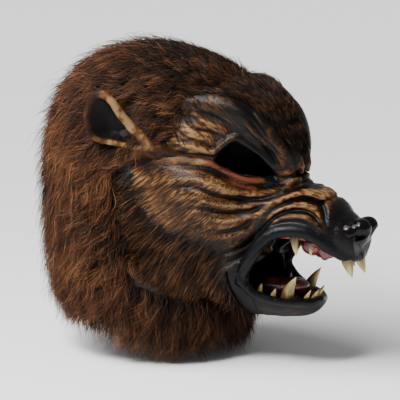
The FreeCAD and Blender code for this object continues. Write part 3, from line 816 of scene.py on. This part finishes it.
def strand_mesh(name, path, out, width, shade, materials):
    """Tapered ribbons along the strands. Shade, 0 to 1, picks the material; roots are darker than tips."""
    count, rings = len(path), STRAND_RINGS
    tangent = unit(np.gradient(path, axis=1))
    roll = rng.uniform(-1.1, 1.1, (count, 1, 1))
    side = unit(np.cross(tangent, np.broadcast_to(out[:, None], path.shape)))
    other = np.cross(side, tangent)
    across = side * np.cos(roll) + other * np.sin(roll)
    t = np.linspace(0, 1, rings)
    swell = 0.55 + 0.45 * np.sin(np.pi * np.clip(t * 1.4 + 0.1, 0, 1))
    half = 0.5 * width[:, None, None] * swell[None, :, None]
    half = half * (1 - t**3)[None, :, None] + 0.04
    points = np.stack([path - across * half, path + across * half], 2).reshape(-1, 3)
    base = np.arange(count)[:, None] * rings * 2 + np.arange(rings - 1)[None] * 2
    quads = np.stack([base, base + 1, base + 3, base + 2], -1).reshape(-1, 4)
    piece = make_mesh(name, points, quads, materials)
    tone = np.clip(shade[:, None] + np.linspace(-0.34, 0.2, rings - 1)[None], 0, 0.999)
    piece.data.polygons.foreach_set("material_index", (tone * len(materials)).astype(np.int32).ravel())
    return piece


def hood_flow(p):
    """Which way the pile lies: back over the crown, back and down the sides, down at the nape and ruff."""
    x, f, u = p.T
    high = smooth_step(20, 110, u)
    low = smooth_step(-60, -130, u)
    front = smooth_step(40, 110, f)
    return np.stack([
        x / 90 * (0.35 + 0.5 * high * front),
        -(0.55 + 0.5 * high) * (1 - 0.55 * low) * smooth_step(-120, -60, f) - 0.1,
        -(1.0 - 0.75 * high) - 0.2 * low,
    ], -1)


FUR_COUNT = 190000
EAR_SPACE = ((104, -12, 74), (17, 25, 30))  # kept clear round each ear: middle and radii


def fur(materials):
    """The pile of every panel, as one piece for each, named as the panel that it stands for."""
    roots, out = hood_roots(FUR_COUNT)
    x, f, u = roots.T
    low = smooth_step(-50, -120, u)
    edge = smooth_step(0, 40, hood_edge(f, u))
    high = smooth_step(30, 100, u) * smooth_step(-40, 60, f)
    length = (38 - 4 * low - 14 * high) * rng.uniform(0.5, 1.2, len(u)) * (0.7 + 0.3 * edge)
    patches = np.sin(x * 0.045 + 1.3) * np.sin(f * 0.05 + u * 0.03) * 0.5 + np.sin(u * 0.07 + f * 0.02) * 0.3
    stray = rng.uniform(0, 1, len(u)) < 0.14
    lift = (0.36 + 0.35 * stray + 0.15 * low) * (1 - 0.45 * high)
    path, lock = grow(roots, out, hood_flow(roots), length, lift,
                      sag=0.14, curl=0.22, clump_size=7.0, clump=0.36)
    clear = (ball(np.abs(path[..., 0]), path[..., 1], path[..., 2], *EAR_SPACE) > 0).all(1)
    # darker on the crown's front, the dark panel's own colour, and low at the front under the jaw, which is
    # painted shade
    dark = smooth_step(40, 105, u) * smooth_step(-70, 40, f)
    dark = dark + 0.8 * smooth_step(-60, -110, u) * smooth_step(-20, 60, f)
    lock_tone = rng.normal(0, 0.13, lock.max() + 1)[lock]
    shade = 0.5 + 0.16 * patches + lock_tone + rng.normal(0, 0.13, len(u)) - 0.26 * dark
    width = rng.uniform(0.4, 0.8, len(u)) * 1
    pieces = {}
    for node, holds in PANELS.items():
        chosen = holds(x, f, u) & clear
        strands = (field[chosen] for field in (path, out, width, shade))
        pieces[node] = strand_mesh(node + "_pile", *strands, materials)
    return pieces


# ---------------------------------------------------------------- crepe hair laid on the latex

def surface_of(piece):
    """A finished piece's points and outward directions, as (x, f, u)."""
    mesh = piece.data
    points = np.empty(len(mesh.vertices) * 3, np.float32)
    normals = np.empty(len(mesh.vertices) * 3, np.float32)
    mesh.vertices.foreach_get("co", points)
    mesh.vertices.foreach_get("normal", normals)
    turn = np.array([1, -1, 1])
    return points.reshape(-1, 3) * turn / MM, normals.reshape(-1, 3) * turn


def hair_patch(name, skin, density, flow, length, lift, shade, materials, wanted):
    """Hair on part of a skin. Density, a function of the points, is the share of them that carry a strand."""
    points, normals = surface_of(skin)
    outside = (normals * (points - np.array([0, -10, -20]))).sum(-1) > 0
    weight = np.where(outside, density(*points.T), 0)
    weight = weight / weight.sum()
    count = wanted
    chosen = rng.choice(len(points), size=count, p=weight)
    roots = points[chosen] + rng.normal(0, 0.7, (count, 3))
    out = unit(normals[chosen])
    lengths = length * rng.uniform(0.55, 1.15, count)
    direction = flow(*roots.T)
    path, lock = grow(roots, out, direction, lengths, np.full(count, lift),
                      sag=0.06, curl=0.05, clump_size=5.0, clump=0.4)
    tone = shade + rng.normal(0, 0.12, count) + rng.normal(0, 0.1, lock.max() + 1)[lock]
    widths = rng.uniform(0.4, 0.8, count) * 1
    return strand_mesh(name, path, out, widths, tone, materials)


def back_and_down(x, f, u):
    """Which way the hair lies on the cheek."""
    back = 0.8 - 0.3 * smooth_step(-20, -90, u)
    down = 0.5 + 0.4 * smooth_step(-10, -90, u)
    return np.stack([0.1 * np.sign(x), -back, -down], -1)


def over_the_temple(x, f, u):
    """Which way the hair lies on the temple: down, and forwards to the eye."""
    return np.stack([0.05 * np.sign(x), 0.5 + 0 * f, -0.85 + 0 * f], -1)


def up_and_back(x, f, u):
    """Which way the hair lies on the forehead."""
    return np.stack([0.25 * np.sign(x) * smooth_step(0, 20, np.abs(x)), -0.75 + 0 * f, 0.62 + 0 * f], -1)


def cheek_density(x, f, u):
    """Thick at the back of the cheek, thinning towards the mouth and under the eye."""
    front = np.interp(u, (-130, -95, -60, -46, -33, 0, 25), (94, 94, 82, 62, 22, 8, -2))
    thin = 0.04 * smooth_step(110, 90, f) * smooth_step(30, 10, u)
    return (smooth_step(14, -14, f - front) + thin) * smooth_step(34, 18, u)


def temple_density(x, f, u):
    """Thick behind a line from the ear to the brow, and sparse in front of it."""
    front = np.interp(u, (30, 60, 90, 110), (-10, 40, 52, 60))
    return (smooth_step(16, -10, f - front) + 0.06 * (f < 80)) * smooth_step(46, 60, u)


def forehead_density(x, f, u):
    """Between the brows and up over the forehead."""
    lane = np.interp(u, (36, 53, 67, 92, 99, 110), (10, 19, 26, 37, 49, 70))
    return smooth_step(4, -4, np.abs(x) - lane) * smooth_step(32, 46, u) * smooth_step(20, 60, f)


# ---------------------------------------------------------------- soft fittings

def soft_copy(node, name, material):
    """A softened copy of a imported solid."""
    piece = bpy.data.objects.new(name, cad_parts[node].data.copy())
    bpy.context.collection.objects.link(piece)
    piece.data.materials.clear()
    piece.data.materials.append(material)
    remesh = piece.modifiers.new("even", "REMESH")
    remesh.mode, remesh.voxel_size, remesh.use_smooth_shade = "VOXEL", 1.2 * MM, True
    ease = piece.modifiers.new("ease", "SMOOTH")
    ease.factor, ease.iterations = 0.5, 2
    return piece


# ---------------------------------------------------------------- materials

class Paint:
    """A material's nodes, with the few that this mask needs."""

    def __init__(self, name, color, rough, **values):
        self.material = bpy.data.materials.new(name)
        self.material.use_nodes = True
        self.nodes, self.links = self.material.node_tree.nodes, self.material.node_tree.links
        self.surface = self.nodes["Principled BSDF"]
        self.set("Base Color", (*color, 1))
        self.set("Roughness", rough)
        for key, value in values.items():
            self.set(key.replace("_", " "), value)

    def set(self, socket, value):
        target = self.surface.inputs[socket]
        if isinstance(value, bpy.types.NodeSocket):
            self.links.new(value, target)
        else:
            target.default_value = value

    def _feed(self, node, sockets):
        for index, value in sockets.items():
            if isinstance(value, bpy.types.NodeSocket):
                self.links.new(value, node.inputs[index])
            else:
                node.inputs[index].default_value = value
        return node

    def number(self, name):
        node = self.nodes.new("ShaderNodeAttribute")
        node.attribute_name = name
        return node.outputs["Fac"]

    def math(self, operation, a, b=0.0):
        node = self.nodes.new("ShaderNodeMath")
        node.operation = operation
        return self._feed(node, {0: a, 1: b}).outputs[0]

    def span(self, value, low, high, to_low=0.0, to_high=1.0):
        node = self.nodes.new("ShaderNodeMapRange")
        node.interpolation_type = "SMOOTHSTEP"
        return self._feed(node, {0: value, 1: low, 2: high, 3: to_low, 4: to_high}).outputs[0]

    def noise(self, scale, size=(1, 1, 1), detail=4.0, turn=0.0):
        """Noise in the piece's own space; scale is per metre. An axis of larger size has a longer grain.

        The axes are first turned about X, and a positive turn brushes forwards and up.
        """
        place = self.nodes.new("ShaderNodeTexCoord")
        mapping = self.nodes.new("ShaderNodeMapping")
        mapping.vector_type = "TEXTURE"
        mapping.inputs["Scale"].default_value = size
        mapping.inputs["Rotation"].default_value = (math.radians(-turn), 0, 0)
        self.links.new(place.outputs["Object"], mapping.inputs["Vector"])
        node = self.nodes.new("ShaderNodeTexNoise")
        self.links.new(mapping.outputs["Vector"], node.inputs["Vector"])
        return self._feed(node, {"Scale": scale, "Detail": detail}).outputs["Fac"]

    def blend(self, share, a, b):
        node = self.nodes.new("ShaderNodeMix")
        return self._feed(node, {0: share, 2: a, 3: b}).outputs[0]

    def mix(self, share, a, b):
        node = self.nodes.new("ShaderNodeMix")
        node.data_type = "RGBA"
        a, b = ((*v, 1) if isinstance(v, tuple) else v for v in (a, b))
        return self._feed(node, {0: share, 6: a, 7: b}).outputs[2]

    def ramp(self, value, stops):
        node = self.nodes.new("ShaderNodeValToRGB")
        elements = node.color_ramp.elements
        elements.remove(elements[1])
        for n, (at, color) in enumerate(stops):
            element = elements[0] if n == 0 else elements.new(at)
            element.position, element.color = at, (*color, 1)
        self.links.new(value, node.inputs[0])
        return node.outputs[0]

    def bump(self, height, distance, strength=1.0):
        node = self.nodes.new("ShaderNodeBump")
        node.inputs["Strength"].default_value = strength
        node.inputs["Distance"].default_value = distance
        self.links.new(height, node.inputs["Height"])
        self.set("Normal", node.outputs[0])


BLACK = (0.002, 0.0016, 0.0015)
SOOT = (0.005, 0.0028, 0.0018)
UMBER = (0.021, 0.008, 0.0028)
TAN = (0.078, 0.0295, 0.0075)
# the palest cream of the paint, which also makes the painted highlight on the temple
CREAM_AND_HIGHLIGHT = (0.19, 0.11, 0.048)
LID_RED = (0.11, 0.03, 0.015)
LIP_BLACK = (0.0035, 0.0035, 0.0045)


def face_paint():
    """Tan sponged over the ridges and black-brown in the creases, partly paint and partly painted shade; a
    painted highlight on the temple; the inner side painted black as shade; gloss black round the mouth.
    """
    paint = Paint("painted_latex", TAN, 0.45, Coat_Roughness=0.1)
    cheek = paint.noise(850.0, size=(1, 20, 1), detail=2.0, turn=36)
    brow = paint.noise(620.0, size=(1, 14, 1), detail=2.0, turn=-44)
    snout = paint.noise(300.0, size=(1, 6, 1), detail=4.0, turn=6)
    streaks = paint.blend(paint.number("brow"), paint.blend(paint.number("cheek"), snout, cheek), brow)
    cloud = paint.noise(60.0, detail=3.0)
    tone = paint.math("ADD", paint.number("tan_and_painted_light"), paint.span(streaks, 0.34, 0.62, -0.34, 0.13))
    tone = paint.math("ADD", tone, paint.span(cloud, 0.3, 0.7, -0.16, 0.12))
    color = paint.ramp(tone, ((0.0, BLACK), (0.26, SOOT), (0.48, UMBER), (0.76, TAN), (1.0, CREAM_AND_HIGHLIGHT)))
    reddened = paint.math("MULTIPLY", paint.number("lid"), paint.span(tone, -0.1, 0.5))
    color = paint.mix(reddened, color, LID_RED)
    gloss = paint.number("gloss")
    color = paint.mix(gloss, color, LIP_BLACK)
    paint.set("Base Color", color)
    paint.set("Roughness", paint.span(gloss, 0.0, 1.0, 0.3, 0.1))
    paint.set("Specular IOR Level", paint.span(gloss, 0.0, 1.0, 0.15, 0.12))
    height = paint.math("ADD", paint.math("MULTIPLY", streaks, 0.9), paint.noise(900.0, detail=2.0))
    paint.bump(height, 0.0007, 0.6)
    return paint.material


def ear_paint():
    """Tan on the rim and the root, black in the cup."""
    paint = Paint("ear_latex", TAN, 0.5, Specular_IOR_Level=0.1)
    cloud = paint.noise(90.0)
    tone = paint.math("ADD", paint.number("rim"), paint.span(cloud, 0.3, 0.7, -0.2, 0.2))
    stops = ((0.0, BLACK), (0.3, SOOT), (0.55, UMBER), (0.8, TAN), (1.0, CREAM_AND_HIGHLIGHT))
    paint.set("Base Color", paint.ramp(tone, stops))
    paint.bump(paint.noise(500.0), 0.0006, 0.5)
    return paint.material


def tooth_paint():
    """Ivory at the tip, ochre and brown towards the gum."""
    paint = Paint("tooth_resin", (0.6, 0.45, 0.22), 0.28)
    stain = paint.noise(220.0, size=(1, 1, 4))
    tone = paint.math("ADD", paint.number("height"), paint.span(stain, 0.35, 0.65, -0.2, 0.2))
    paint.set("Base Color", paint.ramp(tone, (
        (0.0, (0.03, 0.014, 0.004)), (0.22, (0.09, 0.052, 0.012)),
        (0.5, (0.2, 0.14, 0.04)), (0.95, (0.4, 0.33, 0.14)),
    )))
    return paint.material


def wet_paint(name, light, dark, scale):
    """Glossy latex in two clouded colours."""
    paint = Paint(name, light, 0.3, Coat_Weight=0.3, Coat_Roughness=0.1)
    cloud = paint.noise(scale)
    paint.set("Base Color", paint.mix(paint.span(cloud, 0.35, 0.65), light, dark))
    paint.bump(paint.noise(scale * 4), 0.0006, 0.4)
    return paint.material


def nose_paint():
    """Gloss black with a fine grain."""
    paint = Paint("nose_gloss", (0.002, 0.002, 0.0022), 0.08, Specular_IOR_Level=0.16)
    paint.bump(paint.noise(520.0, detail=2.0), 0.0006, 0.25)
    return paint.material


def cloth_paint(name, color, scale):
    """Dull cloth or foam with a grain of the given scale."""
    paint = Paint(name, color, 0.9)
    paint.bump(paint.noise(scale, size=(1, 1, 0.4)), 0.0008, 0.6)
    return paint.material


def fur_paints(name, shades):
    """One plain material for each shade of strand, dark to light."""
    return [
        Paint(f"{name}_{n}", color, 0.6, Specular_IOR_Level=0.12).material for n, color in enumerate(shades)
    ]


FUR_SHADES = ((0.003, 0.0015, 0.001), (0.008, 0.0034, 0.0018), (0.02, 0.0076, 0.0034),
              (0.042, 0.0155, 0.0065), (0.076, 0.0285, 0.0115), (0.13, 0.05, 0.0195), (0.23, 0.1, 0.042))
HAIR_SHADES = ((0.003, 0.0018, 0.0012), (0.009, 0.0042, 0.0024), (0.028, 0.0115, 0.005),
               (0.07, 0.029, 0.0115), (0.16, 0.07, 0.027))


# ---------------------------------------------------------------- building it

def build_face():
    """The skin in three pieces, and a function that tells what lies inside it."""
    whole, depth, zones = sculpt_face()
    latex = face_paint()
    pieces = {
        name: finish_clay(part, name, latex, **zones)
        for name, part in split_face(whole, depth).items()
    }
    placed(pieces["face_skin_cast"], "head", "face_latex", "face_skin")
    # the skin of the mouth's corners is only given its transform; it rides on no body
    corner = pieces["mouth_corner_skin"]
    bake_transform(corner)
    placed(pieces["jaw_skin_cast"], "jaw", "face_latex", "jaw_skin")

    def within(clay):
        """The distance from each cell of another block of clay to the hollow that the skin leaves."""
        grid = np.stack(np.broadcast_arrays(*clay.everywhere()), -1).reshape(-1, 3)
        return whole.sample(depth, grid).reshape(clay.d.shape) + SKIN + CLEARANCE

    return pieces, within


def placed(piece, body, slot, *nodes):
    """Gives a piece its body and hides the imported nodes that it stands for; the slot is not used."""
    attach(piece, body)
    if nodes:
        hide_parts(*nodes)
    return piece


def build_ears():
    """Both ears, one the mirror of the other."""
    clay, rim = sculpt_ear()
    points, quads = clay.surface(both=False)
    material = ear_paint()
    tone = clay.sample(rim, points)
    for side, sign in SIDES:
        turned = points * [sign, 1, 1]
        piece = make_mesh(f"{side}_ear_cast", turned, outward(turned, quads), material)
        placed(keep(piece, rim=tone), "head", "ear_latex", f"{side}_ear")


def swellings(row):
    """Where the gum swells round the upper or lower teeth: x, forward, height and root radius."""
    specs = [spec for kind in ("canine", "incisors", "premolars") for spec in TEETH[f"{row}_{kind}"]]
    return [(x, f, gum, radius) for x, f, gum, _, radius, *_ in specs]


def build_gums(within):
    """Both gums, kept inside the skin but for the palate, which hangs out of the muzzle."""
    red = wet_paint("gum_gloss", (0.15, 0.01, 0.008), (0.05, 0.004, 0.0035), 160.0)
    upper = sculpt_gum(UPPER_GUM_LINE, UPPER_PLATES, swellings("upper"))
    lower = sculpt_gum(LOWER_GUM_LINE, LOWER_PLATES, swellings("lower"))
    lower.d = np.maximum(lower.d, within(lower)).astype(np.float32)
    x, f, u = upper.everywhere()
    palate = np.maximum(u - PALATE_TOP, f - PALATE_FRONT)
    upper.d = np.maximum(upper.d, np.minimum(within(upper), palate)).astype(np.float32)
    placed(finish_clay(upper, "upper_gum_cast", red), "head", "gum_gloss", "upper_gum")
    placed(finish_clay(lower, "lower_gum_cast", red), "jaw", "gum_gloss", "lower_gum")


def build_tongue():
    wet = wet_paint("tongue_gloss", (0.07, 0.008, 0.008), (0.02, 0.003, 0.003), 120.0)
    placed(finish_clay(sculpt_tongue(), "tongue_cast", wet), "jaw", "tongue_gloss", "tongue")


def build_teeth():
    """Each row's incisors as one piece, and its canines and premolars as one for each side."""
    resin = tooth_paint()
    for row, body, up in (("upper", "head", -1), ("lower", "jaw", 1)):
        both = tooth_piece(f"{row}_incisors_cast", (-1, 1), TEETH[f"{row}_incisors"], up, resin)
        placed(both, body, "tooth_resin", f"{row}_incisors")
        for side, sign in SIDES:
            for kind in ("canine", "premolars"):
                piece = tooth_piece(f"{row}_{side}_{kind}_cast", (sign,), TEETH[f"{row}_{kind}"], up, resin)
                placed(piece, body, "tooth_resin", f"{row}_{side}_{kind}")


def foam_block(low, high, within):
    """Foam that fills the inside of the skin between two corners."""
    clay = Clay((0, low[1] - 6, low[2] - 6), (high[0] + 6, high[1] + 6, high[2] + 6), 2.0)
    x, f, u = clay.everywhere()
    sides = [x - high[0], low[1] - f, f - high[1], low[2] - u, u - high[2]]
    block = np.maximum.reduce([np.broadcast_to(side, clay.d.shape) for side in sides])
    clay.d = blur(np.maximum(block, within(clay) + 4), 2).astype(np.float32)
    return clay


def build_foam(within):
    """The pads at the brow, in the snout and on the chin."""
    foam = cloth_paint("foam", (0.05, 0.05, 0.048), 900.0)
    for name, node, body, low, high in (
        ("brow_foam", "brow_pad", "head", (0, 69, 50), (42, 136, 84)),
        ("muzzle_foam", "snout_foam", "head", (0, 156, -36), (40, 214, 12)),
        ("chin_foam", "chin_cup", "jaw", (0, 97, -132), (34, 114, -112)),
    ):
        pad = placed(finish_clay(foam_block(low, high, within), name, foam), body, "foam", node)


def build_strap():
    strap = soft_copy("head_strap", "elastic_strap", cloth_paint("elastic", (0.02, 0.02, 0.02), 1500.0))
    placed(strap, "head", "elastic", "head_strap")


def build_hem():
    tape = hem_band(cloth_paint("hem_tape", (0.02, 0.01, 0.006), 1500.0))
    placed(tape, "head", "hem_tape", "neck_hem")


def build_hood():
    """The knitted backing and the pile of each panel."""
    pile = fur_paints("fur", FUR_SHADES)
    # the backing is near black: painted shade for what is seen of it through the eye holes
    backing = placed(hood_backing(cloth_paint("knit", (0.012, 0.006, 0.004), 700.0)), "head", "fur_brown")
    panels = fur(pile)
    for node, piece in panels.items():
        placed(piece, "head", "fur_dark" if node == "crown_fur" else "fur_brown", node)


def build_hair(skin):
    """Crepe hair on the face's skin: length, lift, shade and number of strands for each patch."""
    hair = fur_paints("crepe_hair", HAIR_SHADES)
    for name, density, flow, length, lift, shade, wanted in (
        ("cheek_hair", cheek_density, back_and_down, 28, 0.06, 0.52, 18000),
        ("temple_hair", temple_density, over_the_temple, 22, 0.12, 0.25, 2500),
        ("forehead_hair", forehead_density, up_and_back, 15, 0.14, 0.34, 20000),
    ):
        placed(hair_patch(name, skin, density, flow, length, lift, shade, hair, wanted), "head", "fur_brown")


FLOOR_HEIGHT, AMBIENT = -186, 0.32
SUN_STRENGTH, SUN_SPREAD, SUN_PLACE = 4.6, 50, (-0.5, 0.5, 1.0)
WINDOW_WATTS, WINDOW_SIZE, WINDOW_PLACE = 16, 0.32, (-0.75, 0.05, 0.75)
LIGHTS_AIM = (0, -0.06, 0)


def set_stage():
    """A pale floor, a soft sun and a window, both from the camera's upper left."""
    bpy.ops.mesh.primitive_plane_add(size=60, location=(0, 0, FLOOR_HEIGHT * MM))
    floor = bpy.context.object
    floor.name = "floor"
    floor.data.materials.append(Paint("pale_floor", (0.93, 0.93, 0.93), 0.9).material)
    world = bpy.data.worlds.new("studio")
    world.use_nodes = True
    world.node_tree.nodes["Background"].inputs["Color"].default_value = (1, 1, 1, 1)
    world.node_tree.nodes["Background"].inputs["Strength"].default_value = AMBIENT
    bpy.context.scene.world = world
    sun = bpy.data.lights.new("sky", "SUN")
    sun.energy, sun.angle = SUN_STRENGTH, math.radians(SUN_SPREAD)
    window = bpy.data.lights.new("window", "AREA")
    window.energy, window.size = WINDOW_WATTS, WINDOW_SIZE
    for lamp, place in ((sun, SUN_PLACE), (window, WINDOW_PLACE)):
        holder = bpy.data.objects.new(lamp.name, lamp)
        holder.location = place
        holder.rotation_euler = (Vector(place) - Vector(LIGHTS_AIM)).to_track_quat("Z", "Y").to_euler()
        bpy.context.collection.objects.link(holder)


CAMERA_AZIMUTH, CAMERA_ELEVATION, CAMERA_DISTANCE, LENS = -60, 12, 5.25, 450
CAMERA_ASIDE, CAMERA_UP = 0.02835, -0.0273


def set_camera():
    """A long lens, from a little above, on the mask's right front."""
    azimuth, elevation = math.radians(CAMERA_AZIMUTH), math.radians(CAMERA_ELEVATION)
    towards = Vector((math.sin(azimuth) * math.cos(elevation), -math.cos(azimuth) * math.cos(elevation),
                      math.sin(elevation)))
    right = Vector((math.cos(azimuth), math.sin(azimuth), 0))
    lens = bpy.data.cameras.new("photo")
    lens.lens = LENS
    camera = bpy.data.objects.new("photo", lens)
    camera.location = towards * CAMERA_DISTANCE + right * CAMERA_ASIDE + towards.cross(right) * CAMERA_UP
    camera.rotation_euler = towards.to_track_quat("Z", "Y").to_euler()
    bpy.context.collection.objects.link(camera)
    bpy.context.scene.camera = camera


face, within = build_face()
placed(finish_clay(sculpt_nose(), "nose_cast", nose_paint()), "head", "nose_gloss", "nose_pad")
build_ears()
build_gums(within)
build_tongue()
build_teeth()
build_foam(within)
build_strap()
build_hem()
build_hood()
build_hair(face["face_skin_cast"])
set_stage()
set_camera()
